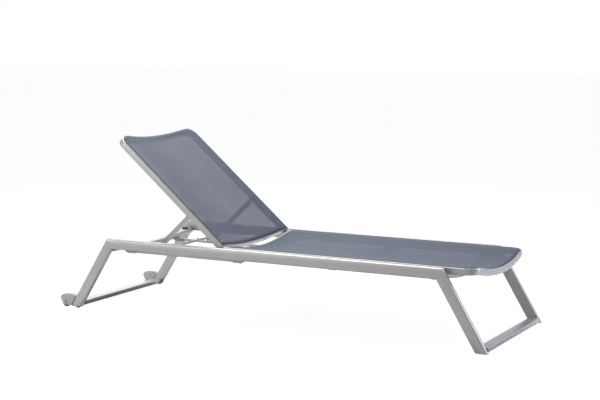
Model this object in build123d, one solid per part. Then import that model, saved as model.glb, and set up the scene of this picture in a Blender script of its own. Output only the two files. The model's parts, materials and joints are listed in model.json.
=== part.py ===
from build123d import *
import math
import os

# Sun lounger with a raised backrest, in millimetres.
# +X runs from the head end to the foot end, +Z is up, the floor is at z = 0.
# The near side in the photograph is the right-hand side, at negative y.

# Overall sizes of the side frames
outer_half_width = 342.5
rail_top = 328.0
rail_head_corner = -766.0
rail_foot_corner = 827.0
front_foot_reach = 195.0
rear_foot_reach = 201.0
sole_height = 6.0

# Extruded side profile: flat inside, crowned outside
profile_height = 46.0
profile_depth = 22.0
profile_crown = 1.8
profile_wall = 2.0
profile_outer_radius = 9.0
profile_inner_radius = 2.5

# Caps that close the lower ends of the legs
cap_height = 4.0
cap_edge_radius = 1.5
cap_plug_depth = 12.0
foot_bar_setback = 5.0

# Glides under the feet
front_glide_radius = 11.0
rear_glide_radius = 8.0
glide_stem_radius = 4.0
glide_stem_length = 9.0
front_glide_inset = 18.5
rear_glide_setback = 17.0
glide_edge_radius = 1.5

# Bowed cross tubes
tube_width = 40.0
tube_height = 22.0
tube_corner_radius = 6.0
tube_wall = 2.0
tube_bow = 30.0
head_tube_bow = 16.0
first_bend_share = 0.12
head_tube_setback = 14.0
hinge_tube_x = -150.0
middle_tube_x = 340.0
foot_tube_setback = 36.0

# Sling frames of the seat and the backrest
frame_side_clearance = 20.5
frame_tube_width = 25.0
frame_tube_height = 28.0
frame_tube_wall = 2.0
frame_edge_radius = 5.0
frame_corner_radius = 60.0
seat_head_end = -178.0
seat_overhang = 169.0
seat_nose_bow = 12.0
end_rail_width = 25.0

# Sling cloth
cloth_thickness = 1.2
cloth_clearance = 0.3
seat_cloth_setback = 13.0
back_cloth_setback = 3.0
cloth_level_bow = 0.1

# Edge of a sling: a cord in a hem, caught in a slotted channel of the frame tube
sling_cord_radius = 2.0
hem_thickness = 1.1
channel_radius = 3.3
channel_wall = 1.5
channel_inset = 5.2
channel_depth = 5.4
slot_width = 1.8

# Hinge of the backrest, seen with the backrest lowered
rest_angle = 40.3
hinge_x = -192.6
hinge_end_gap = 12.3
hinge_eye_radius = 12.0
hinge_eye_width = 15.0
hinge_pin_radius = 4.0
hinge_head_radius = 7.0
hinge_head_height = 3.0
running_clearance = 0.05
gap = 0.3
plug_length = 30.0

# Backrest
backrest_overhang = 147.1
backrest_corner_radius = 50.0
backrest_top_bow = 23.0
backrest_low_bow = 26.0

# Prop that holds the backrest up
prop_pivot_share = 0.404
prop_length_share = 0.479
prop_arm_clearance = 12.0
prop_arm_width = 14.0
prop_arm_height = 20.0
prop_arm_web = 3.0
prop_arm_flange = 2.6
prop_boss_length = 14.0
prop_pivot_radius = 4.0
prop_pivot_head_radius = 8.0
prop_pivot_head_height = 3.0
prop_pivot_head_edge = 1.0
prop_pivot_tip = 4.0
prop_spacer_radius = 7.5
prop_rod_radius = 6.0
prop_rod_height = 277.0
prop_cap_radius = 9.0
prop_cap_length = 6.0
prop_cap_dome = 2.0
sleeve_radius = 7.5
sleeve_length = 26.0
stop_pin_radius = 4.0
stop_pin_reach = 20.0
stop_pin_setback = 46.0
stop_pin_drop = 6.0
stop_pin_head = 5.5
stop_pin_head_length = 4.0

# Notched rack that the prop rod rests on
rack_inset = 64.0
rack_width = 12.0
rack_height = 12.0
rack_drop = 16.0
rack_wall = 1.6
rack_corner_radius = 2.0
rack_pin_radius = 4.0
rack_pin_gap = 1.3
rack_rest_setback = 10.0
rack_pitch_share = 0.099
rack_pin_count = 5
mount_wall = 3.5
mount_floor = 2.0
mount_setback = 12.0
mount_slant_run = 14.0
mount_slant_rise = 9.0
mount_screw_offset = 12.0
mount_depth = 30.0
mount_rise = 24.0
mount_screw_radius = 2.0
mount_screw_head_radius = 4.0
mount_screw_head_height = 2.4

# Bolts that hold the seat frame down on the cross tubes
seat_bolt_radius = 3.0
seat_bolt_head_radius = 5.5
seat_bolt_head_height = 3.0
seat_bolt_tip = 2.0
hinge_bolt_offset = 12.0

# Rubber blocks that the lowered backrest lands on
bumper_width = 20.0
bumper_length = 26.0
bumper_height = 8.0
bumper_corner_radius = 3.0

# Small transport wheels behind the rear feet
wheel_radius = 21.5
wheel_lift = 0.5
wheel_setback = 26.0
wheel_groove_width = 4.0
wheel_groove_depth = 2.0
wheel_pocket_gap = 2.5
axle_radius = 4.0
axle_head_radius = 6.0
axle_head_height = 1.5
housing_wall = 3.0
housing_sole = 9.0
housing_top = 60.0
housing_reach = 27.6
housing_nose_height = 36.0
housing_notch_height = 24.0
housing_notch_depth = 7.0

overrun = 20.0

# Shapes that everything shares


def d_profile(height, depth, crown, outer_radius, inner_radius):
    """Section with its flat inner face on local x = 0 and its crown at x = depth."""
    half = height / 2
    shoulder = depth - crown
    crown_arc = ThreePointArc((shoulder, -half), (depth, 0), (shoulder, half))
    straight = Polyline((shoulder, half), (0, half), (0, -half), (shoulder, -half))
    section = make_face(Curve() + [crown_arc, straight])
    outer = section.vertices().filter_by(lambda v: v.X > depth / 2)
    section = fillet(outer, outer_radius)
    inner = section.vertices().filter_by(lambda v: v.X < inner_radius)
    return fillet(inner, inner_radius)


def rail_section():
    return d_profile(profile_height, profile_depth, profile_crown,
                     profile_outer_radius, profile_inner_radius)


def rail_bore_section(clearance):
    inset = profile_wall + clearance
    bore = d_profile(profile_height - 2 * inset, profile_depth - 2 * inset, profile_crown,
                     profile_outer_radius - inset, profile_inner_radius / 2)
    return Pos(inset, 0) * bore


def slab(x_range, y_range, z_range):
    """Box between three pairs of limits."""
    size = [high - low for low, high in (x_range, y_range, z_range)]
    centre = [(high + low) / 2 for low, high in (x_range, y_range, z_range)]
    return Pos(*centre) * Box(*size)


def rod_along_y(x, z, radius, y_from, y_to):
    middle = (y_from + y_to) / 2
    return Pos(x, middle, z) * Rot(90, 0, 0) * Cylinder(radius, abs(y_to - y_from))


def rod_along_z(x, y, radius, z_from, z_to):
    return Pos(x, y, (z_from + z_to) / 2) * Cylinder(radius, z_to - z_from)


def other_side(shape):
    return mirror(shape, about=Plane.XZ)


# Side frames: a rail mitred to a front and a rear leg, all of the same profile

rail_inner_y = outer_half_width - profile_depth
frame_half_width = rail_inner_y - frame_side_clearance
front_foot_tip = rail_foot_corner + front_foot_reach
rear_foot_tip = rail_head_corner - rear_foot_reach
rail_centre_z = rail_top - profile_height / 2
leg_drop = rail_top - sole_height


class Leg:
    """Centre line, direction and mitre of one leg, seen from the side."""

    def __init__(self, corner_x, foot_x):
        self.toward = 1 if foot_x > corner_x else -1
        run = foot_x - corner_x
        reach = math.hypot(run, leg_drop)
        self.dx = run / reach
        self.dz = -leg_drop / reach
        self.slope = run / leg_drop
        self.level_width = profile_height / -self.dz
        self.corner_x = corner_x
        self.length = reach
        half = profile_height / 2
        self.start_x = corner_x + self.toward * half * self.dz
        self.start_z = rail_top - half * abs(self.dx)
        turn = math.atan2(abs(self.dz), abs(self.dx))
        self.inset = profile_height * math.tan(turn / 2)

    def outer_x(self, z):
        """Where the outer edge of the leg is at a height."""
        return self.corner_x + self.slope * (rail_top - z)


front_leg = Leg(rail_foot_corner, front_foot_tip)
rear_leg = Leg(rail_head_corner, rear_foot_tip)
leg_cut = sole_height + cap_height


def mitre_plane(leg):
    """Plane of the mitre, with its normal pointing away from the rail."""
    inset_point = (leg.corner_x - leg.toward * leg.inset, rail_top - profile_height)
    along = Vector(inset_point[0] - leg.corner_x, 0, inset_point[1] - rail_top)
    normal = along.cross(Vector(0, leg.toward, 0))
    return Plane(origin=(leg.corner_x, 0, rail_top), z_dir=normal)


def leg_bar(leg, section, extra):
    """Straight bar on the centre line of a leg, longer than the leg at both ends."""
    start = (leg.start_x - leg.dx * extra, rail_inner_y, leg.start_z - leg.dz * extra)
    place = Plane(origin=start, x_dir=(0, 1, 0), z_dir=(leg.dx, 0, leg.dz))
    return extrude(place * section, leg.length + 2 * extra)


def keep_side(shape, plane, keep):
    return split(shape, bisect_by=plane, keep=keep)


def make_rail():
    place = Plane(origin=(rail_head_corner, rail_inner_y, rail_centre_z),
                  x_dir=(0, 1, 0), z_dir=(1, 0, 0))
    length = rail_foot_corner - rail_head_corner
    rail = extrude(place * (rail_section() - rail_bore_section(0)), length)
    rail = keep_side(rail, mitre_plane(front_leg), Keep.BOTTOM)
    return keep_side(rail, mitre_plane(rear_leg), Keep.BOTTOM)


def make_leg(leg):
    bar = leg_bar(leg, rail_section() - rail_bore_section(0), profile_height)
    bar = keep_side(bar, mitre_plane(leg), Keep.TOP)
    return keep_side(bar, Plane.XY.offset(leg_cut), Keep.TOP)


def make_leg_cap(leg, glide_hole):
    """Moulded cap under a leg, with a plug that sits inside the leg."""
    bar = leg_bar(leg, rail_section(), profile_height)
    plate = keep_side(bar, Plane.XY.offset(sole_height), Keep.TOP)
    plate = keep_side(plate, Plane.XY.offset(leg_cut), Keep.BOTTOM)
    rim = plate.edges().group_by(Axis.Z)[0]
    plate = fillet(rim, cap_edge_radius)
    core = leg_bar(leg, rail_bore_section(gap), profile_height)
    plug = keep_side(core, Plane.XY.offset(leg_cut), Keep.TOP)
    plug = keep_side(plug, Plane.XY.offset(leg_cut + cap_plug_depth), Keep.BOTTOM)
    cap = plate + plug
    return cap - glide_hole if glide_hole else cap


def make_foot_bar(leg):
    """Hollow bar between the feet, with its crowned side down."""
    outer = leg.outer_x(sole_height) - leg.toward * foot_bar_setback
    centre = outer - leg.toward * profile_height / 2
    place = Plane(origin=(centre, rail_inner_y, sole_height + profile_depth),
                  x_dir=(0, 0, -1), z_dir=(0, -1, 0))
    return extrude(place * (rail_section() - rail_bore_section(0)), 2 * rail_inner_y)


def make_glide(x, y, radius):
    """Round rubber glide with a stem that is pressed into what it carries."""
    disc = rod_along_z(x, y, radius, 0, sole_height)
    disc = fillet(disc.edges().group_by(Axis.Z)[0], glide_edge_radius)
    stem = rod_along_z(x, y, glide_stem_radius, sole_height, sole_height + glide_stem_length)
    return disc + stem


def glide_hole(x, y):
    top = sole_height + glide_stem_length + gap
    return rod_along_z(x, y, glide_stem_radius + running_clearance, 0, top)


front_bar_x = front_leg.outer_x(sole_height) - foot_bar_setback - profile_height / 2
front_glide_y = rail_inner_y - front_glide_inset
rear_glide_x = rear_leg.outer_x(sole_height) + rear_leg.level_width / 2 + rear_glide_setback / 2
rear_glide_y = rail_inner_y + profile_depth / 2

# Cross tubes and end rails: level ends, a short bend down and one long shallow arc between them


def bow_path(place, half_length, bow_from, bow, lift=0):
    """Path across the lounger; local x is across and local y is the way it bows.

    It leaves the level at a distance off centre. A lift gives the path that stays
    parallel to the plain one, that far outside its bow."""
    turn = 2 * math.atan2(bow, bow_from)
    first_bend = bow_from * first_bend_share / math.sin(turn)
    arc = bow_from * (1 - first_bend_share) / math.sin(turn) - lift
    bend = first_bend + lift
    knee = bow_from - bend * math.sin(turn)
    knee_bow = bend * (1 - math.cos(turn))
    pieces = []
    if half_length > bow_from:
        pieces.append(Line((-half_length, 0), (-bow_from, 0)))
    pieces.append(RadiusArc((-bow_from, 0), (-knee, knee_bow), -bend))
    pieces.append(RadiusArc((-knee, knee_bow), (knee, knee_bow), arc))
    pieces.append(RadiusArc((knee, knee_bow), (bow_from, 0), -bend))
    if half_length > bow_from:
        pieces.append(Line((bow_from, 0), (half_length, 0)))
    return place * Wire(Curve() + pieces)


def box_section(width, height, radius):
    return RectangleRounded(width, height, radius)


def bowed_bar(place, half_length, bow_from, bow, section, lift=0):
    """Solid bar of a section swept along a bowed path."""
    path = bow_path(place, half_length, bow_from, bow, lift)
    start = Plane(origin=path @ 0, x_dir=place.z_dir, z_dir=path % 0)
    return sweep(start * section, path)


frame_inner_y = frame_half_width - frame_tube_width


def tube_bar(x, top, bow, inset):
    """A cross tube's outside, or its bore when inset by its wall."""
    place = Plane(origin=(x, 0, top - tube_height / 2), x_dir=(0, 1, 0), z_dir=(-1, 0, 0))
    section = box_section(tube_width - 2 * inset, tube_height - 2 * inset,
                          tube_corner_radius - inset)
    return bowed_bar(place, rail_inner_y, frame_inner_y, bow, section)


def make_cross_tube(x, top, bow):
    return tube_bar(x, top, bow, 0) - tube_bar(x, top, bow, tube_wall)


frame_base = rail_top - frame_tube_height
head_tube_top = frame_base - bumper_height
head_tube_x = rail_head_corner + head_tube_setback
foot_tube_x = rail_foot_corner - foot_tube_setback
seat_foot_end = rail_foot_corner + seat_overhang

# Frame tubes: a rounded box section with a slotted channel in its outer top edge.
# In the section local x points out of the frame and local y points up.


def at_channel(shape):
    return Pos(frame_tube_width / 2 - channel_inset, frame_tube_height / 2 - channel_depth) * shape


def frame_section():
    outer = box_section(frame_tube_width, frame_tube_height, frame_edge_radius)
    bore = box_section(frame_tube_width - 2 * frame_tube_wall, frame_tube_height - 2 * frame_tube_wall,
                       frame_edge_radius - frame_tube_wall)
    bore -= at_channel(Circle(channel_radius + channel_wall))
    slot = Pos(0, channel_depth) * Rectangle(slot_width, 2 * channel_depth)
    return outer - bore - at_channel(Circle(channel_radius)) - at_channel(slot)


def hem_section():
    """Edge of a sling: down through the slot and round the cord in the channel."""
    inside = sling_cord_radius + running_clearance
    outside = inside + hem_thickness
    height = channel_depth + cloth_clearance + cloth_thickness / 2 - inside
    drop = Pos(0, inside + height / 2) * Rectangle(cloth_thickness, height)
    return at_channel(Circle(outside) + drop - Circle(inside))


def cord_section():
    return at_channel(Circle(sling_cord_radius))


# Seat frame: two sides and a gently bowed foot end, bent from one tube

hinge_z = rail_top - frame_tube_height / 2


def seat_outline(inset):
    """Plan outline of the seat frame, inset from its outer edge."""
    half = frame_half_width - inset
    nose = seat_foot_end - inset
    corner = nose - seat_nose_bow
    radius = frame_corner_radius - inset
    lower = Line((seat_head_end, -half), (corner, -half))
    front = ThreePointArc((corner, -half), (nose, 0), (corner, half))
    upper = Polyline((corner, half), (seat_head_end, half), (seat_head_end, -half))
    face = make_face(Curve() + [lower, front, upper])
    corners = face.vertices().group_by(Axis.X)[-1]
    return fillet(corners, radius)


def seat_sweep(section):
    """Section carried along the seat frame, from the left end round the nose to the right end."""
    outline = Pos(0, 0, hinge_z) * seat_outline(frame_tube_width / 2)
    edges = outline.edges().sort_by(Axis.X)[1:].sort_by(Axis.Y, reverse=True)
    path = Wire(edges)
    place = Plane(origin=(seat_head_end, frame_half_width - frame_tube_width / 2, hinge_z),
                  x_dir=(0, 1, 0), z_dir=(1, 0, 0))
    return sweep(place * section, path)


def seat_bolt_places():
    y = frame_half_width - frame_tube_width / 2
    return [(x, side * y) for x in (hinge_tube_x + hinge_bolt_offset, middle_tube_x, foot_tube_x)
            for side in (1, -1)]


def make_seat_bolts():
    """Bolts from under the cross tubes into the floor of the seat frame's sides."""
    low = frame_base - tube_height
    tip = frame_base + frame_tube_wall + seat_bolt_tip
    return [rod_along_z(x, y, seat_bolt_radius, low, tip)
            + rod_along_z(x, y, seat_bolt_head_radius, low - seat_bolt_head_height, low)
            for x, y in seat_bolt_places()]


def without_seat_bolts(shape):
    low = frame_base - tube_height - gap
    for x, y in seat_bolt_places():
        shape -= rod_along_z(x, y, seat_bolt_radius + running_clearance, low,
                             frame_base + frame_tube_wall + gap)
    return shape


def make_seat_frame():
    return without_seat_bolts(seat_sweep(frame_section()))


def end_rail_bar(x, bow, lift, inset):
    """Bowed rail between the sides of a sling frame, or its bore when inset."""
    place = Plane(origin=(x, 0, hinge_z), x_dir=(0, 1, 0), z_dir=(-1, 0, 0))
    section = box_section(end_rail_width - 2 * inset, frame_tube_height - 2 * inset,
                          frame_edge_radius - inset)
    return bowed_bar(place, frame_inner_y, frame_inner_y, bow, section, lift)


def make_end_rail(x, bow, lift):
    return end_rail_bar(x, bow, lift, 0) - end_rail_bar(x, bow, lift, frame_tube_wall)


seat_rail_x = seat_head_end + end_rail_width / 2
seat_rail_lift = (tube_height + frame_tube_height) / 2

# Cloth: a taut sheet that lies on the frame and follows the bow of its end rails

sheet_inset = channel_inset - cloth_thickness / 2


def cloth_strip(x, bow_from, bow, lift):
    """Edge-on face of the cloth over one end rail, which bows from a distance off centre."""
    half = frame_half_width - sheet_inset
    low = rail_top + cloth_clearance
    place = Plane(origin=(x, 0, low), x_dir=(0, 1, 0), z_dir=(-1, 0, 0))
    under = bow_path(place, half, bow_from, bow, lift)
    over = under.moved(Location((0, 0, cloth_thickness)))
    left = Line(under @ 0, over @ 0)
    right = Line(under @ 1, over @ 1)
    return make_face(Curve() + [*under.edges(), *over.edges(), left, right])


def make_cloth(strips, outline):
    """Sheet through edge-on faces, trimmed to a plan outline."""
    sheet = loft(strips, ruled=True)
    cutter = extrude(Plane.XY.offset(rail_top - tube_bow - overrun) * outline, tube_bow + 2 * overrun)
    return sheet & cutter


def make_seat_cloth():
    start = seat_head_end + seat_cloth_setback
    inside = seat_foot_end - seat_nose_bow - frame_tube_width
    level = (frame_inner_y, cloth_level_bow, 0)
    lift = seat_rail_lift + frame_tube_height / 2
    strips = [cloth_strip(start, frame_inner_y, tube_bow, lift),
              cloth_strip(inside, *level), cloth_strip(seat_foot_end, *level)]
    return make_cloth(strips, seat_outline(sheet_inset)) + seat_sweep(hem_section())


# Backrest, built lowered and then turned up about its hinge

hinge_axis = Axis((hinge_x, 0, hinge_z), (0, 1, 0))
back_low_end = hinge_x - hinge_end_gap
back_high_end = head_tube_x - backrest_overhang
back_knee_y = frame_half_width - backrest_corner_radius


def raised(shape, angle=rest_angle):
    return shape.rotate(hinge_axis, angle)


def back_outline(inset):
    """Plan outline of the lowered backrest, inset from its outer edge."""
    half = frame_half_width - inset
    length = back_low_end - back_high_end - inset
    centre = back_high_end + inset + length / 2
    face = Pos(centre, 0) * Rectangle(length, 2 * half)
    corners = face.vertices().group_by(Axis.X)[0]
    return fillet(corners, backrest_corner_radius - inset)


def back_path():
    """Centre line of the bent tube: up one side, across the bowed top and down the other."""
    half = frame_half_width - frame_tube_width / 2
    bend = backrest_corner_radius - frame_tube_width / 2
    top = back_high_end + frame_tube_width / 2
    knee = top + bend
    side = back_knee_y
    place = Plane(origin=(top, 0, hinge_z), x_dir=(0, 1, 0), z_dir=(-1, 0, 0))
    right = Line((back_low_end, -half, hinge_z), (knee, -half, hinge_z))
    left = Line((knee, half, hinge_z), (back_low_end, half, hinge_z))
    middle = bow_path(place, side, side, backrest_top_bow)
    quarter = bend * math.sin(math.pi / 4)
    right_knee = ThreePointArc((knee, -half, hinge_z),
                               (knee - quarter, -side - quarter, hinge_z),
                               (top, -side, hinge_z))
    left_knee = ThreePointArc((top, side, hinge_z),
                              (knee - quarter, side + quarter, hinge_z),
                              (knee, half, hinge_z))
    return Wire([right.edge(), right_knee.edge(), *middle.edges(), left_knee.edge(), left.edge()])


def back_sweep(section):
    """Section carried along the backrest frame, from the right end over the top to the left end."""
    path = back_path()
    place = Plane(origin=path @ 0, x_dir=(0, -1, 0), z_dir=path % 0)
    return sweep(place * section, path)


def make_back_frame():
    frame = back_sweep(frame_section())
    reach = frame_inner_y + frame_tube_wall
    for side in (-1, 1):
        inner = side * (frame_inner_y - gap)
        outer = side * (reach + gap)
        pivot = rod_along_y(prop_pivot_x, hinge_z, prop_pivot_radius + running_clearance,
                            inner, outer)
        stop = rod_along_y(stop_x, stop_z, stop_pin_radius + running_clearance, inner, outer)
        frame -= pivot + stop
    return raised(frame)


def make_back_cloth():
    lift = frame_tube_height / 2
    low = (frame_inner_y, backrest_low_bow, lift)
    high = (back_knee_y, backrest_top_bow, lift)
    strips = [cloth_strip(back_low_end - back_cloth_setback, *low),
              cloth_strip(back_low_end - end_rail_width, *low),
              cloth_strip(back_high_end + frame_tube_width, *high),
              cloth_strip(back_high_end, *high)]
    sheet = make_cloth(strips, back_outline(sheet_inset))
    return raised(sheet + back_sweep(hem_section()))


back_rail_x = back_low_end - end_rail_width / 2
head_reach = hinge_x - head_tube_x
prop_pivot_distance = head_reach * prop_pivot_share
prop_length = head_reach * prop_length_share
prop_pivot_x = hinge_x - prop_pivot_distance
stop_x = prop_pivot_x + stop_pin_setback
stop_z = hinge_z - stop_pin_drop


def channel_clearance(x_range):
    """Room round the cord channel inside a side tube."""
    low, high = x_range
    place = Plane(origin=(low - gap, frame_half_width - channel_inset, rail_top - channel_depth),
                  x_dir=(0, 1, 0), z_dir=(1, 0, 0))
    return extrude(place * Circle(channel_radius + channel_wall + gap), high - low + 2 * gap)


def hinge_block(x_face, toward, cheeks):
    """End fitting of a side tube: one eye, or a fork of two cheeks, on a plug."""
    middle = frame_half_width - frame_tube_width / 2
    half_eye = hinge_eye_width / 2
    spans = [(middle - half_eye, middle + half_eye)]
    if cheeks:
        spans = [(frame_inner_y, middle - half_eye - gap), (middle + half_eye + gap, frame_half_width)]
    neck = sorted((hinge_x, x_face))
    eye_low = hinge_z - hinge_eye_radius
    eye_high = hinge_z + hinge_eye_radius
    block = None
    for span in spans:
        cheek = rod_along_y(hinge_x, hinge_z, hinge_eye_radius, *span)
        cheek += slab(neck, span, (eye_low, eye_high))
        block = cheek if block is None else block + cheek
    base_x = sorted((x_face, hinge_x - toward * (hinge_eye_radius + gap)))
    if cheeks:
        base = slab(base_x, (frame_inner_y, frame_half_width), (frame_base, rail_top))
        lengthwise = base.edges().filter_by(Axis.X)
        block += fillet(lengthwise, frame_edge_radius - gap)
    inset = frame_tube_wall + gap
    plug_x = sorted((x_face, x_face - toward * plug_length))
    plug = slab(plug_x, (frame_inner_y + inset, frame_half_width - inset),
                (frame_base + inset, rail_top - inset))
    plug = fillet(plug.edges().filter_by(Axis.X), frame_edge_radius - frame_tube_wall)
    plug -= channel_clearance(plug_x)
    bore = rod_along_y(hinge_x, hinge_z, hinge_pin_radius + running_clearance,
                       frame_inner_y - overrun, frame_half_width + overrun)
    return block + plug - bore


def make_hinge_fork():
    return hinge_block(seat_head_end, -1, True)


def make_hinge_eye():
    return raised(hinge_block(back_low_end, 1, False))


def make_hinge_pin():
    head = hinge_head_height
    shank = rod_along_y(hinge_x, hinge_z, hinge_pin_radius,
                        frame_inner_y - head, frame_half_width + head)
    outer = rod_along_y(hinge_x, hinge_z, hinge_head_radius,
                        frame_half_width, frame_half_width + head)
    inner = rod_along_y(hinge_x, hinge_z, hinge_head_radius,
                        frame_inner_y - head, frame_inner_y)
    return shank + outer + inner


# Prop: two channel arms joined by a rod, pivoted on the sides of the backrest

raise_turn = math.radians(rest_angle)
pivot_x = hinge_x - prop_pivot_distance * math.cos(raise_turn)
pivot_z = hinge_z + prop_pivot_distance * math.sin(raise_turn)
prop_turn = math.asin((pivot_z - prop_rod_height) / prop_length)
rod_x = pivot_x - prop_length * math.cos(prop_turn)
rod_z = prop_rod_height
rack_top = prop_rod_height - rack_drop
rack_pin_top = prop_rod_height - sleeve_radius - rack_pin_gap
prop_arm_outer_y = frame_inner_y - prop_arm_clearance
prop_arm_inner_y = prop_arm_outer_y - prop_arm_width
rack_y = prop_arm_outer_y - rack_inset


def arm_place():
    """Plane in which an arm lies along local x, with the pivot at the origin."""
    along = (-math.cos(prop_turn), 0, -math.sin(prop_turn))
    return Plane(origin=(pivot_x, prop_arm_inner_y, pivot_z), x_dir=along, z_dir=(0, 1, 0))


def make_prop_arm():
    place = arm_place()
    middle = Pos(prop_length / 2, 0)
    radius = prop_arm_height / 2
    blank = extrude(place * middle * SlotCenterToCenter(prop_length, prop_arm_height), prop_arm_width)
    length = prop_length - 2 * prop_boss_length
    pocket = RectangleRounded(length, prop_arm_height - 2 * prop_arm_flange, rack_corner_radius)
    channel = extrude(place * middle * pocket, prop_arm_width - prop_arm_web)
    pivot = rod_along_y(pivot_x, pivot_z, prop_pivot_radius + running_clearance,
                        prop_arm_inner_y - gap, prop_arm_outer_y + gap)
    rod = rod_along_y(rod_x, rod_z, prop_rod_radius,
                      prop_arm_inner_y - gap, prop_arm_outer_y + gap)
    return blank - channel - pivot - rod


def make_prop_rod():
    return rod_along_y(rod_x, rod_z, prop_rod_radius, -prop_arm_outer_y, prop_arm_outer_y)


def make_rod_cap():
    cap = rod_along_y(rod_x, rod_z, prop_cap_radius,
                      prop_arm_outer_y, prop_arm_outer_y + prop_cap_length)
    rim = cap.edges().group_by(Axis.Y)[-1]
    return fillet(rim, prop_cap_dome)


def make_rod_sleeve():
    low = rack_y - sleeve_length / 2
    high = rack_y + sleeve_length / 2
    sleeve = rod_along_y(rod_x, rod_z, sleeve_radius, low, high)
    return sleeve - rod_along_y(rod_x, rod_z, prop_rod_radius, low - gap, high + gap)


def make_prop_pivot():
    """Shoulder bolt from inside the arm into the side tube of the backrest."""
    inner = prop_arm_inner_y - gap
    tip = frame_inner_y + frame_tube_wall + prop_pivot_tip
    shank = rod_along_y(pivot_x, pivot_z, prop_pivot_radius, inner, tip)
    head = rod_along_y(pivot_x, pivot_z, prop_pivot_head_radius,
                       inner - prop_pivot_head_height, inner)
    rim = head.edges().group_by(Axis.Y)[0]
    return shank + fillet(rim, prop_pivot_head_edge)


def make_prop_spacer():
    low = prop_arm_outer_y + gap
    ring = rod_along_y(pivot_x, pivot_z, prop_spacer_radius, low, frame_inner_y)
    return ring - rod_along_y(pivot_x, pivot_z, prop_pivot_radius, low - gap, frame_inner_y + gap)


def make_stop_pin():
    """Pin inside a side tube of the backrest that ends the swing of the prop."""
    tip = frame_inner_y - stop_pin_reach
    pin = rod_along_y(stop_x, stop_z, stop_pin_radius, tip, frame_inner_y + frame_tube_wall)
    knob = rod_along_y(stop_x, stop_z, stop_pin_head, tip, tip + stop_pin_head_length)
    return raised(pin + knob)


# Rack bars under the backrest, with upright pins that catch the prop rod

mount_reach = tube_width / 2 - mount_setback
rack_head_end = head_tube_x - mount_reach + mount_slant_run
rack_foot_end = hinge_tube_x + mount_reach - mount_slant_run
rack_low = rack_top - rack_height
rack_pin_pitch = head_reach * rack_pitch_share


def rack_pin_places():
    first = rod_x - rack_rest_setback - rack_pin_pitch
    return [first + i * rack_pin_pitch for i in range(rack_pin_count)]


def mount_screw_places():
    """Where each shoe's screw stands, and how far up into its cross tube it reaches."""
    head_tip = head_tube_top - (tube_height + head_tube_bow) / 2
    hinge_tip = frame_base - (tube_height + tube_bow) / 2
    places = ((head_tube_x + mount_screw_offset, head_tip), (hinge_tube_x - mount_screw_offset, hinge_tip))
    return [(x, side * rack_y, tip) for x, tip in places for side in (1, -1)]


def make_mount_screws():
    """Screws up through each shoe and its rack bar into the cross tube."""
    low = rack_low - mount_floor
    return [rod_along_z(x, y, mount_screw_radius, low, tip)
            + rod_along_z(x, y, mount_screw_head_radius, low - mount_screw_head_height, low)
            for x, y, tip in mount_screw_places()]


def without_mount_screws(shape):
    for x, y, tip in mount_screw_places():
        shape -= rod_along_z(x, y, mount_screw_radius + running_clearance, rack_low - mount_floor - gap, tip)
    return shape


def rack_bar_block(inset):
    size = (rack_width - 2 * inset, rack_height - 2 * inset)
    place = Plane(origin=(rack_head_end, rack_y, rack_top - rack_height / 2),
                  x_dir=(0, 1, 0), z_dir=(1, 0, 0))
    section = RectangleRounded(*size, rack_corner_radius - inset)
    return extrude(place * section, rack_foot_end - rack_head_end)


def make_rack_bar():
    bar = rack_bar_block(0) - rack_bar_block(rack_wall)
    low = rack_low + rack_wall
    for x in rack_pin_places():
        bar -= rod_along_z(x, rack_y, rack_pin_radius, low, rack_top + gap)
    return without_mount_screws(bar)


def make_rack_pins():
    low = rack_low + rack_wall
    return [rod_along_z(x, rack_y, rack_pin_radius, low, rack_pin_top) for x in rack_pin_places()]


def make_rack_mount(tube_x, bow, top, toward):
    """Moulded shoe round the end of a rack bar, seated against the tube above it."""
    half = rack_width / 2 + mount_wall
    outer_end = tube_x + toward * mount_reach
    inner_end = tube_x - toward * (tube_width / 2 + mount_depth - mount_wall)
    low = rack_low - mount_floor
    high = rack_low + mount_rise
    slant = outer_end - toward * mount_slant_run
    side = Plane(origin=(0, rack_y + half, 0), x_dir=(1, 0, 0), z_dir=(0, -1, 0))
    outline = Polyline((outer_end, high), (outer_end, low + mount_slant_rise), (slant, low),
                       (inner_end, low), (inner_end, high), close=True)
    block = extrude(side * make_face(outline), 2 * half)
    pocket_x = sorted((slant, inner_end - toward * overrun))
    pocket = slab(pocket_x, (rack_y - rack_width / 2, rack_y + rack_width / 2), (rack_low, rack_top))
    shoulder_x = sorted((tube_x - toward * tube_width / 2, inner_end - toward * overrun))
    shoulder = slab(shoulder_x, (rack_y - overrun, rack_y + overrun),
                    (rack_top + mount_wall / 2, rack_top + tube_height + overrun))
    return without_mount_screws(block - pocket - shoulder - tube_bar(tube_x, top, bow, 0))


# Bumpers on the head tube


def make_bumper():
    middle = frame_half_width - frame_tube_width / 2
    half = bumper_width / 2
    block = slab((head_tube_x - bumper_length / 2, head_tube_x + bumper_length / 2),
                 (middle - half, middle + half), (head_tube_top, frame_base - gap))
    return fillet(block.edges().filter_by(Axis.Z), bumper_corner_radius)


# Wheels in housings behind the rear feet

wheel_z = wheel_radius + wheel_lift
wheel_x = rear_foot_tip - wheel_setback
housing_nose = wheel_x - housing_reach


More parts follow.
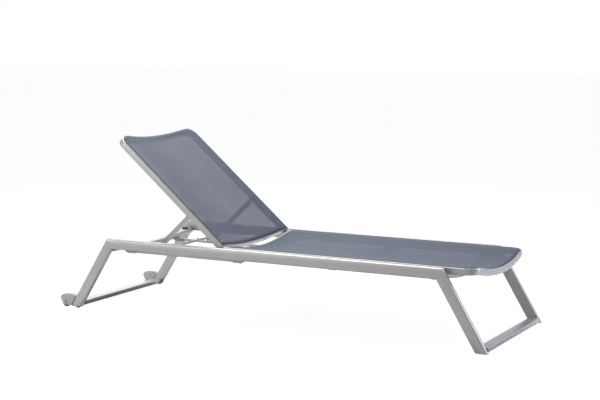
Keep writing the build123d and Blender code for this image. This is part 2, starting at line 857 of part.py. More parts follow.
def wheel_housing_outline():
    """Side view of the housing: a rounded nose over the wheel, against the leg in front."""
    low = (rear_leg.outer_x(housing_sole), housing_sole)
    crest_z = housing_top - housing_sole
    high = (rear_leg.outer_x(crest_z), crest_z)
    crest = ((wheel_x + high[0]) / 2, housing_top)
    nose = (housing_nose, housing_nose_height)
    shoulder = (wheel_x - wheel_radius / 2, housing_top - housing_wall)
    notch = (housing_nose + housing_notch_depth, housing_notch_height)
    heel = (wheel_x - wheel_radius / 2, housing_sole)
    over = Spline([high, crest, shoulder, nose], tangents=[(-1, 1), (0, -1)])
    step = Line(nose, notch)
    back = ThreePointArc(notch, (notch[0] + housing_wall, (notch[1] + heel[1]) / 2), heel)
    base = Line(heel, low)
    front = Line(low, high)
    return make_face(Curve() + [over, step, back, base, front])


def make_wheel_housing():
    side = Plane(origin=(0, outer_half_width, 0), x_dir=(1, 0, 0), z_dir=(0, -1, 0))
    body = extrude(side * wheel_housing_outline(), profile_depth)
    low = rail_inner_y + housing_wall
    high = outer_half_width - housing_wall
    pocket_radius = wheel_radius + wheel_pocket_gap
    pocket = rod_along_y(wheel_x, wheel_z, pocket_radius, low, high)
    bore = rod_along_y(wheel_x, wheel_z, axle_radius, rail_inner_y - gap, outer_half_width + gap)
    return body - pocket - bore


def make_wheel():
    low = rail_inner_y + housing_wall + gap
    high = outer_half_width - housing_wall - gap
    middle = (low + high) / 2
    half_groove = wheel_groove_width / 2
    tyre = rod_along_y(wheel_x, wheel_z, wheel_radius, low, high)
    tyre = fillet(tyre.edges(), wheel_groove_depth)
    groove = rod_along_y(wheel_x, wheel_z, wheel_radius + gap, middle - half_groove, middle + half_groove)
    groove -= rod_along_y(wheel_x, wheel_z, wheel_radius - wheel_groove_depth,
                          middle - half_groove - gap, middle + half_groove + gap)
    bore = rod_along_y(wheel_x, wheel_z, axle_radius + running_clearance, low - gap, high + gap)
    return tyre - groove - bore


def make_axle():
    pin = rod_along_y(wheel_x, wheel_z, axle_radius, rail_inner_y, outer_half_width)
    head = rod_along_y(wheel_x, wheel_z, axle_head_radius,
                       outer_half_width, outer_half_width + axle_head_height)
    return pin + head


# Everything, by the name of its node


def pair(name, shape):
    """The same piece on the left at positive y and on the right at negative y."""
    return {"left_" + name: shape, "right_" + name: other_side(shape)}


def both_sides(shape):
    """Two like pieces that share a node."""
    return Compound([shape, other_side(shape)])


def make_all():
    nodes = {}
    nodes.update(pair("side_rail", make_rail()))
    nodes.update(pair("front_leg", make_leg(front_leg)))
    nodes.update(pair("rear_leg", make_leg(rear_leg)))
    hole = glide_hole(rear_glide_x, rear_glide_y)
    nodes.update(pair("front_leg_cap", make_leg_cap(front_leg, None)))
    nodes.update(pair("rear_leg_cap", make_leg_cap(rear_leg, hole)))
    front_hole = glide_hole(front_bar_x, front_glide_y)
    nodes["front_foot_bar"] = make_foot_bar(front_leg) - front_hole - other_side(front_hole)
    nodes["rear_foot_bar"] = make_foot_bar(rear_leg)
    nodes.update(pair("front_glide", make_glide(front_bar_x, front_glide_y, front_glide_radius)))
    nodes.update(pair("rear_glide", make_glide(rear_glide_x, rear_glide_y, rear_glide_radius)))
    head_tube = make_cross_tube(head_tube_x, head_tube_top, head_tube_bow)
    nodes["head_cross_tube"] = without_mount_screws(head_tube)
    hinge_tube = make_cross_tube(hinge_tube_x, frame_base, tube_bow)
    nodes["hinge_cross_tube"] = without_mount_screws(without_seat_bolts(hinge_tube))
    middle_tube = make_cross_tube(middle_tube_x, frame_base, tube_bow)
    nodes["middle_cross_tube"] = without_seat_bolts(middle_tube)
    foot_tube = make_cross_tube(foot_tube_x, frame_base, tube_bow)
    nodes["foot_cross_tube"] = without_seat_bolts(foot_tube)
    nodes["seat_frame_bolts"] = Compound(make_seat_bolts())
    nodes["seat_frame"] = make_seat_frame()
    nodes["seat_head_rail"] = make_end_rail(seat_rail_x, tube_bow, seat_rail_lift)
    nodes["seat_sling"] = make_seat_cloth()
    nodes["seat_sling_cord"] = seat_sweep(cord_section())
    nodes["backrest_frame"] = make_back_frame()
    back_rail = make_end_rail(back_rail_x, backrest_low_bow, 0)
    nodes["backrest_lower_rail"] = raised(back_rail)
    nodes["backrest_sling"] = make_back_cloth()
    nodes["backrest_sling_cord"] = raised(back_sweep(cord_section()))
    nodes.update(pair("hinge_fork", make_hinge_fork()))
    nodes.update(pair("hinge_eye", make_hinge_eye()))
    nodes["hinge_pins"] = both_sides(make_hinge_pin())
    nodes.update(pair("prop_arm", make_prop_arm()))
    nodes["prop_rod"] = make_prop_rod()
    nodes["prop_rod_caps"] = both_sides(make_rod_cap())
    nodes.update(pair("prop_sleeve", make_rod_sleeve()))
    nodes.update(pair("prop_pivot", make_prop_pivot()))
    nodes["prop_spacers"] = both_sides(make_prop_spacer())
    nodes["prop_stop_pins"] = both_sides(make_stop_pin())
    nodes.update(pair("rack_bar", make_rack_bar()))
    pins = make_rack_pins()
    nodes["left_rack_pins"] = Compound(pins)
    nodes["right_rack_pins"] = Compound([other_side(pin) for pin in pins])
    head_mount = make_rack_mount(head_tube_x, head_tube_bow, head_tube_top, -1)
    hinge_mount = make_rack_mount(hinge_tube_x, tube_bow, frame_base, 1)
    nodes.update(pair("rack_head_mount", head_mount))
    nodes.update(pair("rack_hinge_mount", hinge_mount))
    nodes["rack_mount_screws"] = Compound(make_mount_screws())
    nodes.update(pair("bumper", make_bumper()))
    nodes.update(pair("wheel_housing", make_wheel_housing()))
    nodes.update(pair("wheel", make_wheel()))
    nodes["wheel_axles"] = both_sides(make_axle())
    return nodes


def main():
    os.makedirs("parts", exist_ok=True)
    for name, shape in make_all().items():
        export_step(shape, "parts/" + name + ".step")


main()
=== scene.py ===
import json
import math

import bmesh
import bpy
from bpy.props import FloatProperty, FloatVectorProperty, IntProperty, PointerProperty
from mathutils import Matrix, Vector
from mathutils.geometry import convex_hull_2d


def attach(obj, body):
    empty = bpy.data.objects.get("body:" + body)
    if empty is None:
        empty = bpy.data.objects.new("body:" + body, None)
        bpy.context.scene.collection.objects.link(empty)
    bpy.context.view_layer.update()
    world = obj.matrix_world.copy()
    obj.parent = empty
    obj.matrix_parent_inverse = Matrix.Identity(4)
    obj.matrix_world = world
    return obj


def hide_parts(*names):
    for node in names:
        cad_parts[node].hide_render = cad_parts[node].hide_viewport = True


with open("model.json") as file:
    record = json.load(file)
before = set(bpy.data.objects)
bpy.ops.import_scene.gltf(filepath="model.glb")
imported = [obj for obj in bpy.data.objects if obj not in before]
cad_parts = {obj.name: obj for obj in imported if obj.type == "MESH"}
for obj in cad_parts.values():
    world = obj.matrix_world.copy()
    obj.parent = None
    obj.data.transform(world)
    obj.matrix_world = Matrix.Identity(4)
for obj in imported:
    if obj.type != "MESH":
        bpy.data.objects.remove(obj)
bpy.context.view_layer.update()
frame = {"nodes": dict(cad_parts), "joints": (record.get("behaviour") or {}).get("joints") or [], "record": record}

bl_info = {
    "name": "Sun lounger",
    "version": (1, 0, 0),
    "blender": (4, 5, 0),
    "location": "3D View > Sidebar > Lounger",
    "description": "Dresses the packed sun lounger: mesh slings, powder coat, fittings and studio",
    "category": "Object",
}

# The nodes, kept from straight after loading, and one millimetre in metres

NODES = frame["nodes"]
MM = 0.001


def joint_named(name):
    """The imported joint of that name."""
    return next(j for j in frame["joints"] if j["name"] == name)


# The backrest's pins, and its angle above flat as packed
HINGE = Vector(joint_named("backrest_hinge")["pos_m"])
REST_ANGLE = -math.radians(joint_named("backrest_hinge")["range_deg"][0])

# Colour and material helpers


def linear(hex_colour):
    """Linear RGBA from an sRGB hex string."""
    channels = [int(hex_colour[i:i + 2], 16) / 255 for i in (1, 3, 5)]
    light = [c / 12.92 if c <= 0.04045 else ((c + 0.055) / 1.055) ** 2.4 for c in channels]
    return (*light, 1.0)


WHITE = linear("#FFFFFF")


def add_node(material, kind, settings=None, links=None):
    """Adds a shader node, sets its fields and sockets, and links sockets to others' outputs."""
    node = material.node_tree.nodes.new(kind)
    for key, value in (settings or {}).items():
        if isinstance(key, int) or key in node.inputs:
            node.inputs[key].default_value = value
        else:
            setattr(node, key, value)
    for socket, source in (links or {}).items():
        material.node_tree.links.new(source, node.inputs[socket])
    return node


def new_material(name):
    """An empty material and its output node."""
    material = bpy.data.materials.new(name)
    material.use_nodes = True
    material.node_tree.nodes.clear()
    output = add_node(material, "ShaderNodeOutputMaterial")
    return material, output


def finish_material(material, output, shader):
    """Joins the last shader to the output of a material, or of a world."""
    material.node_tree.links.new(shader.outputs[0], output.inputs["Surface"])
    return material


def mottle(material, size_mm, detail=2.0, squeeze=(1, 1, 1), coordinate=None):
    """Soft spots about that many millimetres across, longer along an axis that is squeezed."""
    if coordinate is None:
        coordinate = add_node(material, "ShaderNodeTexCoord").outputs["Object"]
    squeezed = add_node(material, "ShaderNodeMapping", {"Scale": squeeze}, {"Vector": coordinate})
    return add_node(material, "ShaderNodeTexNoise",
                    {"Scale": 1 / (size_mm * MM), "Detail": detail},
                    {"Vector": squeezed.outputs["Vector"]})


def tinted(material, colour, fac_source, amount):
    """The colour, made a little lighter and darker by a 0 to 1 source."""
    low = tuple(c * (1 - amount) for c in colour[:3]) + (1.0,)
    high = tuple(min(1.0, c * (1 + amount)) for c in colour[:3]) + (1.0,)
    ramp = add_node(material, "ShaderNodeValToRGB", links={"Fac": fac_source})
    ramp.color_ramp.elements[0].position = 0.35
    ramp.color_ramp.elements[0].color = low
    ramp.color_ramp.elements[1].position = 0.65
    ramp.color_ramp.elements[1].color = high
    return ramp.outputs["Color"]


# Sizes and colours that a user would change


class LoungerSettings(bpy.types.PropertyGroup):
    """Sizes and colours of the lounger's finishes and slings."""

    coat_colour: FloatVectorProperty(
        name="Powder coat", description="Silver-grey powder coat on the aluminium",
        subtype="COLOR", size=4, min=0, max=1, default=linear("#A8A7A6"))
    yarn_colour: FloatVectorProperty(
        name="Sling yarn", description="Blue-grey coated yarn of the slings",
        subtype="COLOR", size=4, min=0, max=1, default=linear("#475060"))
    yarn_dark: FloatVectorProperty(
        name="Sling yarn, dark", description="Darker yarn that crosses it",
        subtype="COLOR", size=4, min=0, max=1, default=linear("#3C4555"))
    yarn_pitch: FloatProperty(
        name="Yarn pitch", description="Distance from yarn to yarn",
        subtype="DISTANCE", default=1.6 * MM)
    open_share: FloatProperty(
        name="Open share", description="Share of the yarn pitch that is left open",
        subtype="FACTOR", min=0, max=1, default=0.32)
    hem_width: FloatProperty(
        name="Hem width", description="Width of the doubled edge along each side of a sling",
        subtype="DISTANCE", default=14 * MM)
    cloth_thickness: FloatProperty(
        name="Cloth thickness", description="Thickness of the slings",
        subtype="DISTANCE", default=0.8 * MM)
    cloth_columns: IntProperty(
        name="Cloth columns", description="Faces across a sling's middle", default=48)
    cloth_rows: IntProperty(
        name="Cloth rows", description="Faces along a sling", default=60)


def settings():
    """The sizes and colours chosen for this scene."""
    return bpy.context.scene.lounger


# Finishes


def make_powder_coat(name, colour, roughness=0.34, metallic=0.55):
    """Powder-coated aluminium: fine metallic flake under a satin skin with slight orange peel."""
    material, output = new_material(name)
    # Real flake is finer, and is drawn this coarse so that it shows
    flake = mottle(material, 0.6)
    cloud = mottle(material, 120, detail=3.0)
    base = tinted(material, colour, cloud.outputs["Fac"], 0.025)
    rough = add_node(material, "ShaderNodeMapRange",
                     {"To Min": roughness - 0.05, "To Max": roughness + 0.05},
                     {"Value": flake.outputs["Fac"]})
    bump = add_node(material, "ShaderNodeBump", {"Strength": 0.05, "Distance": 0.02 * MM},
                    {"Height": flake.outputs["Fac"]})
    shader = add_node(material, "ShaderNodeBsdfPrincipled",
                      {"Metallic": metallic, "Coat Weight": 0.25, "Coat Roughness": 0.22},
                      {"Base Color": base, "Roughness": rough.outputs["Result"],
                       "Normal": bump.outputs["Normal"]})
    return finish_material(material, output, shader)


def make_moulded(name, colour, roughness, grain_mm=0.4):
    """Moulded nylon or rubber: even colour with a fine spark-eroded grain."""
    material, output = new_material(name)
    grain = mottle(material, grain_mm)
    cloud = mottle(material, 9.0)
    base = tinted(material, colour, cloud.outputs["Fac"], 0.08)
    bump = add_node(material, "ShaderNodeBump", {"Strength": 0.25, "Distance": 0.05 * MM},
                    {"Height": grain.outputs["Fac"]})
    shader = add_node(material, "ShaderNodeBsdfPrincipled", {"Roughness": roughness},
                      {"Base Color": base, "Normal": bump.outputs["Normal"]})
    return finish_material(material, output, shader)


def make_turned_steel(name, colour):
    """Turned steel: metal of the given colour with fine rings round each pin, across its length."""
    material, output = new_material(name)
    rings = mottle(material, 0.5, squeeze=(0.2, 4, 0.2))
    rough = add_node(material, "ShaderNodeMapRange", {"To Min": 0.24, "To Max": 0.4},
                     {"Value": rings.outputs["Fac"]})
    base = tinted(material, colour, rings.outputs["Fac"], 0.06)
    shader = add_node(material, "ShaderNodeBsdfPrincipled", {"Metallic": 1.0},
                      {"Base Color": base, "Roughness": rough.outputs["Result"]})
    return finish_material(material, output, shader)


def yarn_wave(material, coordinate, pitch):
    """Triangle wave from 0 in the gap to 1 on the crown of each yarn, along one coordinate."""
    scaled = add_node(material, "ShaderNodeMath", {"operation": "DIVIDE", 1: pitch},
                      {0: coordinate})
    wave = add_node(material, "ShaderNodeMath", {"operation": "PINGPONG", 1: 0.5},
                    {0: scaled.outputs[0]})
    double = add_node(material, "ShaderNodeMath", {"operation": "MULTIPLY", 1: 2.0},
                      {0: wave.outputs[0]})
    return double.outputs[0]


# Facing values between which the weave closes, and the open share that stays at a slant
SLANT_FROM = 0.55
SLANT_TO = 0.86
SLANT_OPEN_SHARE = 0.06


def make_sling_cloth(name):
    """Coated polyester mesh: a plain weave of round yarns with small open squares between them."""
    chosen = settings()
    material, output = new_material(name)
    uv = add_node(material, "ShaderNodeUVMap", {"uv_map": "cloth"})
    axes = add_node(material, "ShaderNodeSeparateXYZ", links={"Vector": uv.outputs["UV"]})
    along = yarn_wave(material, axes.outputs["X"], chosen.yarn_pitch)
    across = yarn_wave(material, axes.outputs["Y"], chosen.yarn_pitch)
    crown = add_node(material, "ShaderNodeMath", {"operation": "MAXIMUM"}, {0: along, 1: across})
    # Seen along the cloth, the round yarns stand in front of the gaps behind them
    slant = add_node(material, "ShaderNodeLayerWeight", {"Blend": 0.5})
    gap = add_node(material, "ShaderNodeMapRange",
                   {"From Min": SLANT_FROM, "From Max": SLANT_TO,
                    "To Min": chosen.open_share, "To Max": SLANT_OPEN_SHARE},
                   {"Value": slant.outputs["Facing"]})
    solid = add_node(material, "ShaderNodeMath", {"operation": "GREATER_THAN"},
                     {0: crown.outputs[0], 1: gap.outputs["Result"]})
    # Along its sides the cloth is doubled over the cord, so the hem has no holes
    off_centre = add_node(material, "ShaderNodeMath", {"operation": "ABSOLUTE"},
                          {0: axes.outputs["Y"]})
    hem = add_node(material, "ShaderNodeMath",
                   {"operation": "GREATER_THAN", 1: FRAME_HALF - EDGE_INSET - chosen.hem_width},
                   {0: off_centre.outputs[0]})
    solid = add_node(material, "ShaderNodeMath", {"operation": "MAXIMUM"},
                     {0: solid.outputs[0], 1: hem.outputs[0]})
    # The inner side of either face lets light through, so the cloth's thickness closes no hole
    facing = add_node(material, "ShaderNodeNewGeometry")
    held = add_node(material, "ShaderNodeMath", {"operation": "SUBTRACT", "use_clamp": True},
                    {0: solid.outputs[0], 1: facing.outputs["Backfacing"]})
    over = add_node(material, "ShaderNodeMath", {"operation": "GREATER_THAN"},
                    {0: along, 1: across})
    # Thick and thin places run along each yarn
    crosswise = mottle(material, 5, squeeze=(1.0, 0.08, 1.0), coordinate=uv.outputs["UV"])
    lengthwise = mottle(material, 4, squeeze=(0.06, 1.0, 1.0), coordinate=uv.outputs["UV"])
    slubs = add_node(material, "ShaderNodeMath", {"operation": "ADD"},
                     {0: crosswise.outputs["Fac"], 1: lengthwise.outputs["Fac"]})
    yarn = add_node(material, "ShaderNodeMix",
                    {"data_type": "RGBA", 6: tuple(chosen.yarn_dark), 7: tuple(chosen.yarn_colour)},
                    {"Factor": over.outputs[0]})
    level = add_node(material, "ShaderNodeMapRange",
                     {"From Min": 0.7, "From Max": 1.3, "To Min": 0.86, "To Max": 1.14},
                     {"Value": slubs.outputs[0]})
    tone = add_node(material, "ShaderNodeHueSaturation",
                    links={"Color": yarn.outputs[2], "Value": level.outputs["Result"]})
    bump = add_node(material, "ShaderNodeBump", {"Strength": 0.5, "Distance": 0.3 * MM},
                    {"Height": crown.outputs[0]})
    shader = add_node(material, "ShaderNodeBsdfPrincipled",
                      {"Roughness": 0.6, "Sheen Weight": 0.05, "Specular IOR Level": 0.22},
                      {"Base Color": tone.outputs["Color"], "Alpha": held.outputs[0],
                       "Normal": bump.outputs["Normal"]})
    return finish_material(material, output, shader)


def add_piece(name, bm, material):
    """Turns a finished bmesh into an object at the origin, and frees it."""
    mesh = bpy.data.meshes.new(name)
    bm.to_mesh(mesh)
    bm.free()
    mesh.materials.append(material)
    piece = bpy.data.objects.new(name, mesh)
    bpy.context.scene.collection.objects.link(piece)
    return piece


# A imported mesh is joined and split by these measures
JOIN_DISTANCE = 1e-5
BEVEL_ANGLE = math.radians(40)
CREASE_ANGLE = math.radians(32)


def dress_node(node, material, bevel=0.0, segments=2):
    """Gives a CAD node its material, joined faces, soft shading and slightly broken edges."""
    node.data.materials.clear()
    node.data.materials.append(material)
    weld = node.modifiers.new("join", "WELD")
    weld.merge_threshold = JOIN_DISTANCE
    if bevel > 0:
        broken = node.modifiers.new("broken edges", "BEVEL")
        broken.width = bevel
        broken.segments = segments
        broken.limit_method = "ANGLE"
        broken.angle_limit = BEVEL_ANGLE
        broken.harden_normals = False
    for face in node.data.polygons:
        face.use_smooth = True
    split = node.modifiers.new("crisp edges", "EDGE_SPLIT")
    split.split_angle = CREASE_ANGLE


# Slings


def bow_drop(y, bow_from, bow, lift):
    """How far a bowed end rail's top lies below its ends, at a distance y off centre."""
    turn = 2 * math.atan2(bow, bow_from)
    first = bow_from * FIRST_BEND_SHARE / math.sin(turn) + lift
    arc = bow_from * (1 - FIRST_BEND_SHARE) / math.sin(turn) - lift
    off = abs(y)
    if off >= bow_from:
        return 0.0
    if bow_from - off <= first * math.sin(turn):
        return first - math.sqrt(first * first - (bow_from - off) ** 2)
    return bow - (arc - math.sqrt(arc * arc - off * off))


def smooth_step(share):
    """Eases from 0 to 1, level at both ends."""
    share = min(1.0, max(0.0, share))
    return share * share * (3 - 2 * share)


# Real sizes of the slings and their frames, as in the part
FRAME_TOP = 0.328
FRAME_HALF = 0.300
FIRST_BEND_SHARE = 0.12
SEAT_CORNER = 0.060
BACK_CORNER = 0.050
EDGE_INSET = 0.0046
CLOTH_LIFT = 0.0006
SEAT_HEAD = -0.165
SEAT_NOSE = 0.996
SEAT_NOSE_BOW = 0.012
NOSE_FROM = 0.900
NOSE_SETBACK = 0.034
NOSE_CUT_STEP = 0.015
CORNER_FACES = 10
BACK_LOW = -0.2079
BACK_HIGH = -0.8991
SEAT_BOW = dict(bow_from=0.275, bow=0.030, lift=0.039)
BACK_LOW_BOW = dict(bow_from=0.275, bow=0.026, lift=0.014)
BACK_HIGH_BOW = dict(bow_from=0.250, bow=0.023, lift=0.014)


def dip_nose(bm):
    """Sets the foot end of the seat back to where the photograph has it, and bows it down."""
    for vert in bm.verts:
        if vert.co.x > NOSE_FROM:
            vert.co.z -= bow_drop(vert.co.y, **SEAT_BOW)
            vert.co.x -= NOSE_SETBACK


def dipped_copy(node, name, material):
    """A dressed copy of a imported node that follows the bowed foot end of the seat."""
    bm = bmesh.new()
    bm.from_mesh(NODES[node].data)
    bmesh.ops.remove_doubles(bm, verts=bm.verts, dist=JOIN_DISTANCE)
    cuts = int(2 * SEAT_BOW["bow_from"] / NOSE_CUT_STEP)
    for i in range(cuts + 1):
        place = SEAT_BOW["bow_from"] - i * NOSE_CUT_STEP
        geometry = [*bm.verts, *bm.edges, *bm.faces]
        bmesh.ops.bisect_plane(bm, geom=geometry, plane_co=(0, place, 0), plane_no=(0, 1, 0))
    dip_nose(bm)
    piece = add_piece(name, bm, material)
    dress_node(piece, material)
    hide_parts(node)
    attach(piece, "frame")
    return piece


def cross_places(half, corner, columns):
    """Distances off centre of a sling's columns, closer together round the corners."""
    straight = half - corner
    inner = [straight * (2 * i / columns - 1) for i in range(columns + 1)]
    outer = [straight + corner * math.sin(math.pi / 2 * i / CORNER_FACES)
             for i in range(1, CORNER_FACES + 1)]
    return [-y for y in reversed(outer)] + inner + outer


def nose_reach(y, half, corner, nose_bow):
    """How far short of the nose a sling's rounded end lies, at a distance y off centre."""
    straight = half - corner
    radius = (straight ** 2 + nose_bow ** 2) / (2 * nose_bow) if nose_bow else 0
    if abs(y) <= straight:
        return radius - math.sqrt(radius * radius - y * y) if nose_bow else 0.0
    side = abs(y) - straight
    return nose_bow + corner - math.sqrt(max(0.0, corner * corner - side * side))


def make_sling(name, start, end, nose_bow, corner, drop, material, turn=0.0):
    """A taut sheet from a straight edge at start to a rounded edge at end, along X."""
    chosen = settings()
    half = FRAME_HALF - EDGE_INSET
    corner -= EDGE_INSET
    places = cross_places(half, corner, chosen.cloth_columns)
    bm = bmesh.new()
    grid = bmesh.ops.create_grid(bm, x_segments=chosen.cloth_rows, y_segments=len(places) - 1,
                                 size=0.5)
    layer = bm.loops.layers.uv.new("cloth")
    toward = 1 if end > start else -1
    for vert in grid["verts"]:
        share = vert.co.x + 0.5
        y = places[round((vert.co.y + 0.5) * (len(places) - 1))]
        reach = abs(end - start) - nose_reach(y, half, corner, nose_bow)
        x = start + toward * reach * share
        vert.co = Vector((x, y, FRAME_TOP + CLOTH_LIFT - drop(x, y)))
    for face in bm.faces:
        face.smooth = True
        for loop in face.loops:
            loop[layer].uv = (loop.vert.co.x, loop.vert.co.y)
    if turn:
        bmesh.ops.rotate(bm, verts=bm.verts, cent=HINGE, matrix=Matrix.Rotation(turn, 3, "Y"))
    bmesh.ops.recalc_face_normals(bm, faces=bm.faces)
    bm.normal_update()
    if sum(face.normal.z for face in bm.faces) < 0:
        bmesh.ops.reverse_faces(bm, faces=bm.faces)
    piece = add_piece(name, bm, material)
    wall = piece.modifiers.new("cloth thickness", "SOLIDIFY")
    wall.thickness = chosen.cloth_thickness
    wall.offset = 1.0
    return piece


def seat_drop(_x, y):
    """The seat sling is one long trough, from its bowed head rail to its bowed foot end."""
    return bow_drop(y, **SEAT_BOW)


def back_drop(x, y):
    """The backrest sling follows its lower rail at one end and its bent tube at the other."""
    share = smooth_step((BACK_LOW - x) / (BACK_LOW - BACK_HIGH))
    return (1 - share) * bow_drop(y, **BACK_LOW_BOW) + share * bow_drop(y, **BACK_HIGH_BOW)


# Operators


class LOUNGER_OT_stage(bpy.types.Operator):
    """Pale floor, soft studio lamps and the camera at the photograph's place"""

    bl_idname = "lounger.stage"
    bl_label = "Studio"

    def execute(self, context):
        make_floor()
        add_card("right_card", place=(2.7, -1.5, 0.6), size=(1.2, 1.2),
                 rotation=(math.pi / 2, 0, math.radians(60)), colour="#0C0C0E")
        low_card = add_card("floor_card", place=(-0.845, 0, 0.003), size=(0.14, 0.62),
                            rotation=(0, 0, 0), colour="#62656B")
        low_card.visible_shadow = False
        make_world(context.scene)
        make_lamps()
        make_camera(context.scene)
        context.scene.view_settings.view_transform = "Standard"
        return {"FINISHED"}


# The floor's size, and how much of what the camera sees of it is plain white, and how bright
FLOOR_SIZE = 60
FLOOR_WHITE_SHARE = 0.85
FLOOR_GLOW = 1.1
WORLD_LIGHT = 0.34


def make_floor():
    """White floor that keeps a soft contact shadow."""
    bpy.ops.mesh.primitive_plane_add(size=FLOOR_SIZE, location=(0, 0, 0))
    floor = bpy.context.object
    floor.name = "studio_floor"
    material, output = new_material("white studio floor")
    path = add_node(material, "ShaderNodeLightPath")
    lit = add_node(material, "ShaderNodeBsdfDiffuse", {"Color": linear("#F2F2F2")})
    white = add_node(material, "ShaderNodeEmission",
                     {"Color": WHITE, "Strength": FLOOR_GLOW})
    share = add_node(material, "ShaderNodeMath", {"operation": "MULTIPLY", 1: FLOOR_WHITE_SHARE},
                     {0: path.outputs["Is Camera Ray"]})
    mix = add_node(material, "ShaderNodeMixShader",
                   links={0: share.outputs[0], 1: lit.outputs[0], 2: white.outputs[0]})
    finish_material(material, output, mix)
    floor.data.materials.append(material)


def make_world(scene):
    """White to the camera and to mirrors and glass, a softer grey as a light."""
    world = bpy.data.worlds.new("white studio")
    scene.world = world
    world.use_nodes = True
    world.node_tree.nodes.clear()
    output = add_node(world, "ShaderNodeOutputWorld")
    path = add_node(world, "ShaderNodeLightPath")
    clear = add_node(world, "ShaderNodeMath", {"operation": "MAXIMUM"},
                     {0: path.outputs["Is Camera Ray"], 1: path.outputs["Is Transmission Ray"]})
    seen = add_node(world, "ShaderNodeMath", {"operation": "MAXIMUM"},
                    {0: clear.outputs[0], 1: path.outputs["Is Glossy Ray"]})
    backdrop = add_node(world, "ShaderNodeBackground", {"Color": WHITE, "Strength": 1.0})
    light = add_node(world, "ShaderNodeBackground", {"Color": WHITE, "Strength": WORLD_LIGHT})
    mix = add_node(world, "ShaderNodeMixShader",
                   links={0: seen.outputs[0], 1: light.outputs[0], 2: backdrop.outputs[0]})
    finish_material(world, output, mix)


def add_card(name, place, size, rotation, colour):
    """A dark card beside the set or on the floor, which the coated edges reflect as a dark line."""
    bpy.ops.mesh.primitive_plane_add(size=1, location=place, rotation=rotation)
    card = bpy.context.object
    card.name = name
    card.scale = (*size, 1)
    card.visible_camera = False
    material, output = new_material("painted card, " + name)
    dark = add_node(material, "ShaderNodeBsdfDiffuse", {"Color": linear(colour)})
    card.data.materials.append(finish_material(material, output, dark))
    return card


def add_softbox(name, place, aim, size, power, colour="#FFFFFF"):
    """A square area lamp that points at a place."""
    lamp = bpy.data.lights.new(name, "AREA")
    lamp.energy = power
    lamp.size = size
    lamp.color = linear(colour)[:3]
    holder = bpy.data.objects.new(name, lamp)
    bpy.context.scene.collection.objects.link(holder)
    holder.location = place
    holder.rotation_mode = "QUATERNION"
    holder.rotation_quaternion = (Vector(aim) - Vector(place)).to_track_quat("-Z", "Y")
    holder.visible_camera = False


def make_lamps():
    """A broad lamp above, one from the left, and smaller ones behind and at the foot end."""
    add_softbox("top_softbox", (-1.0, 0.8, 3.0), (-0.2, 0, 0.3), size=2.6, power=128)
    add_softbox("back_softbox", (-2.6, 3.2, 0.9), (-1.0, 0, 0.1), size=1.6, power=6)
    add_softbox("right_softbox", (2.4, 0.8, 0.7), (1.0, 0.1, 0.2), size=0.9, power=20,
                colour="#D3DBFF")
    add_softbox("left_softbox", (-3.2, -4.0, 1.7), (-0.3, 0, 0.4), size=2.2, power=50)


# The camera as fitted to the outline of the lounger in the photograph
CAMERA_TARGET = (0.0230, 0.0, 0.5112)
CAMERA_AZIMUTH = 27.65
CAMERA_ELEVATION = 7.144
CAMERA_DISTANCE = 6.0719
CAMERA_ROLL = 0.207
CAMERA_LENS = 83.442


def make_camera(scene):
    """The photograph's camera, aimed at a place and turned a little about its own axis."""
    data = bpy.data.cameras.new("photo_camera")
    data.lens = CAMERA_LENS
    data.sensor_width = 36
    camera = bpy.data.objects.new("photo_camera", data)
    scene.collection.objects.link(camera)
    around, up = math.radians(CAMERA_AZIMUTH), math.radians(CAMERA_ELEVATION)
    level = math.cos(up)
    back = Vector((math.sin(around) * level, -math.cos(around) * level, math.sin(up)))
    camera.location = Vector(CAMERA_TARGET) + back * CAMERA_DISTANCE
    camera.rotation_mode = "QUATERNION"
    aim = (-back).to_track_quat("-Z", "Y")
    roll = Matrix.Rotation(math.radians(CAMERA_ROLL), 3, "Z").to_quaternion()
    camera.rotation_quaternion = aim @ roll
    scene.camera = camera


class LOUNGER_OT_finishes(bpy.types.Operator):
    """Powder coat, moulded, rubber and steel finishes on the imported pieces"""

    bl_idname = "lounger.finishes"
    bl_label = "Finishes"

    def execute(self, context):
        coat = settings().coat_colour
        # Each slot's material, and how far its edges are broken
        finishes = {
            "coated_frame": (make_powder_coat("silver powder coat", coat), 0.0),
            "coated_prop": (make_powder_coat("silver powder coat on the prop", coat), 0.0),
            "cast_hinge": (make_powder_coat("coated casting", coat, 0.5), 0.4 * MM),
            "black_rubber": (make_moulded("black rubber", linear("#17181A"), 0.7), 0.0),
            "wheel_rubber": (make_moulded("black tread rubber", linear("#1A1B1D"), 0.65), 0.0),
            "black_plastic": (make_moulded("black moulded nylon", linear("#1C1D20"), 0.5),
                              0.3 * MM),
            "grey_plastic": (make_moulded("silver-grey moulded nylon", coat, 0.5), 0.5 * MM),
            "steel_hardware": (make_turned_steel("turned stainless steel", linear("#A8A8AA")),
                               0.2 * MM),
        }
        blackened = make_turned_steel("blackened steel", linear("#26272B"))
        dull_zinc = make_turned_steel("dull zinc-plated steel", linear("#7E7E80"))
        for part in frame["record"]["subparts"]:
            name, slot = part["node"], part["material_slot"]
            if slot in finishes:
                material, bevel = finishes[slot]
                if "rack_pins" in name or "stop_pins" in name:
                    material = blackened
                elif name == "wheel_axles":
                    material = dull_zinc
                dress_node(NODES[name], material, bevel)
        return {"FINISHED"}


# Weld beads where the cross tubes and foot bars meet the sides
BEAD_RISE = 0.0008
BEAD_REACH = 0.0018
END_CLEAR = 0.0003
END_TOLERANCE = 0.0001
WELDED_NODES = ("head_cross_tube", "hinge_cross_tube", "middle_cross_tube", "foot_cross_tube",
                "front_foot_bar", "rear_foot_bar")


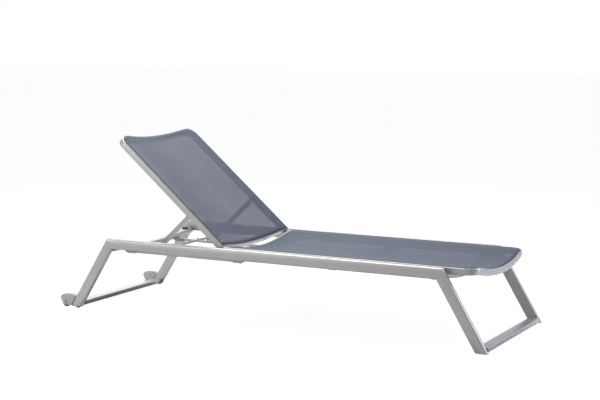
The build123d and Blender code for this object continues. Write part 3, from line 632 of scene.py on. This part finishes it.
def make_welds(node):
    """A sloped bead round both ends of a welded tube, which also closes its open end."""
    points = [vert.co for vert in NODES[node].data.vertices]
    reach = max(point.y for point in points)
    bm = bmesh.new()
    for side in (-1, 1):
        end = [point for point in points if abs(point.y - side * reach) < END_TOLERANCE]
        middle = sum(end, Vector()) / len(end)
        flat = [(point.x, point.z) for point in end]
        outline = [flat[i] for i in convex_hull_2d(flat)]
        place = side * (reach - BEAD_REACH)
        inner = bm.faces.new([bm.verts.new((x, place, z)) for x, z in outline])
        extruded = bmesh.ops.extrude_face_region(bm, geom=[inner])
        for vert in extruded["geom"]:
            if isinstance(vert, bmesh.types.BMVert):
                outwards = Vector((vert.co.x - middle.x, 0, vert.co.z - middle.z)).normalized()
                vert.co += outwards * BEAD_RISE
                vert.co.y = side * (reach + END_CLEAR)
    bmesh.ops.recalc_face_normals(bm, faces=bm.faces)
    piece = add_piece(node + "_welds", bm, bpy.data.materials["silver powder coat"])
    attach(piece, "frame")


class LOUNGER_OT_welds(bpy.types.Operator):
    """Weld beads at the ends of the cross tubes and foot bars"""

    bl_idname = "lounger.welds"
    bl_label = "Weld beads"

    def execute(self, context):
        for node in WELDED_NODES:
            make_welds(node)
        return {"FINISHED"}


class LOUNGER_OT_seat_tube(bpy.types.Operator):
    """The seat's U-shaped tube and the cord in its channel, bowed down across the foot end"""

    bl_idname = "lounger.seat_tube"
    bl_label = "Seat tube"

    def execute(self, context):
        coat = bpy.data.materials["silver powder coat"]
        nylon = bpy.data.materials["black moulded nylon"]
        dipped_copy("seat_frame", "seat_frame_tube", coat)
        dipped_copy("seat_sling_cord", "seat_channel_cord", nylon)
        return {"FINISHED"}


class LOUNGER_OT_seat_sling(bpy.types.Operator):
    """The seat's mesh sling, taut over its frame"""

    bl_idname = "lounger.seat_sling"
    bl_label = "Seat sling"

    def execute(self, context):
        cloth = sling_material()
        end = SEAT_NOSE - NOSE_SETBACK - EDGE_INSET
        piece = make_sling("seat_sling_cloth", SEAT_HEAD, end, SEAT_NOSE_BOW, SEAT_CORNER,
                           seat_drop, cloth)
        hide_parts("seat_sling")
        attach(piece, "frame")
        return {"FINISHED"}


class LOUNGER_OT_backrest_sling(bpy.types.Operator):
    """The backrest's mesh sling, taut over its frame"""

    bl_idname = "lounger.backrest_sling"
    bl_label = "Backrest sling"

    def execute(self, context):
        cloth = sling_material()
        end = BACK_HIGH + EDGE_INSET
        piece = make_sling("backrest_sling_cloth", BACK_LOW, end, 0.0, BACK_CORNER,
                           back_drop, cloth, REST_ANGLE)
        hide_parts("backrest_sling")
        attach(piece, "backrest")
        return {"FINISHED"}


def sling_material():
    """The slings' one material, made when it is first asked for."""
    name = "blue-grey coated mesh"
    return bpy.data.materials.get(name) or make_sling_cloth(name)


class LOUNGER_PT_panel(bpy.types.Panel):
    """Lists the lounger's sizes, colours and operators"""

    bl_label = "Lounger"
    bl_idname = "LOUNGER_PT_panel"
    bl_space_type = "VIEW_3D"
    bl_region_type = "UI"
    bl_category = "Lounger"

    def draw(self, context):
        for name in LoungerSettings.__annotations__:
            self.layout.prop(context.scene.lounger, name)
        for operator in OPERATORS:
            self.layout.operator(operator.bl_idname)


OPERATORS = (
    LOUNGER_OT_stage,
    LOUNGER_OT_finishes,
    LOUNGER_OT_welds,
    LOUNGER_OT_seat_tube,
    LOUNGER_OT_seat_sling,
    LOUNGER_OT_backrest_sling,
)
CLASSES = (LoungerSettings, *OPERATORS, LOUNGER_PT_panel)


def register():
    """Adds the classes, and the settings on the scene."""
    for cls in CLASSES:
        bpy.utils.register_class(cls)
    bpy.types.Scene.lounger = PointerProperty(type=LoungerSettings)


def unregister():
    """Takes the settings and the classes away again."""
    del bpy.types.Scene.lounger
    for cls in reversed(CLASSES):
        bpy.utils.unregister_class(cls)


def main():
    """Registers the add-on and runs its operators in order."""
    register()
    bpy.ops.lounger.stage()
    bpy.ops.lounger.finishes()
    bpy.ops.lounger.welds()
    bpy.ops.lounger.seat_tube()
    bpy.ops.lounger.seat_sling()
    bpy.ops.lounger.backrest_sling()


if __name__ == "__main__":
    main()
